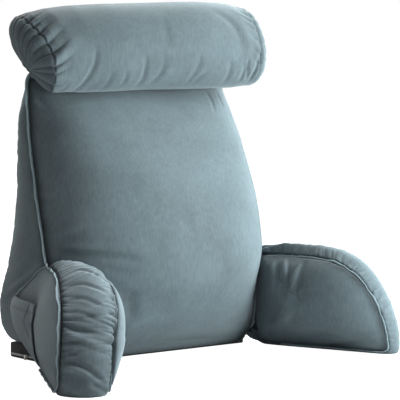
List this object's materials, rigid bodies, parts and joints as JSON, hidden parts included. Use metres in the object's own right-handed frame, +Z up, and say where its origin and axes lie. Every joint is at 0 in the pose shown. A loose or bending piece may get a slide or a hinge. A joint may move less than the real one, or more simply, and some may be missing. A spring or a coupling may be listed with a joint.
{
  "type": "reading pillow with arms",
  "caption": "Wedge-shaped reading back pillow with splayed boxed arms, a gathered neck roll, a side pocket and a dark flat base.",
  "frame": {"origin": "on the flat underside of the base pad, midway across its width, in the plane it rests on", "axes": "+Z up; the front, where the sitter leans, faces -Y; +X to the right seen from the front, so the arm with the pocket is on -X"},
  "size_m": [0.867, 0.5384, 0.7275],
  "materials": {
    "pillow_cloth": "brushed slate grey-blue cloth, matt with a soft nap",
    "base_cloth": "dark, coarse non-slip cloth, matt",
    "zip_tape": "light grey woven tape with fine teeth",
    "zip_metal": "bright satin metal"
  },
  "bodies": {
    "root": {"back_wedge": "pillow_cloth", "wedge_flange_left": "pillow_cloth", "wedge_flange_right": "pillow_cloth", "neck_roll": "pillow_cloth", "arm_left": "pillow_cloth", "arm_left_flange_inner": "pillow_cloth", "arm_left_flange_outer": "pillow_cloth", "arm_right": "pillow_cloth", "arm_right_flange_inner": "pillow_cloth", "arm_right_flange_outer": "pillow_cloth", "pocket": "pillow_cloth", "base_pad": "base_cloth", "zip_tape": "zip_tape", "zip_slider": "zip_metal", "zip_pull": "zip_metal"}
  },
  "joints": []
}
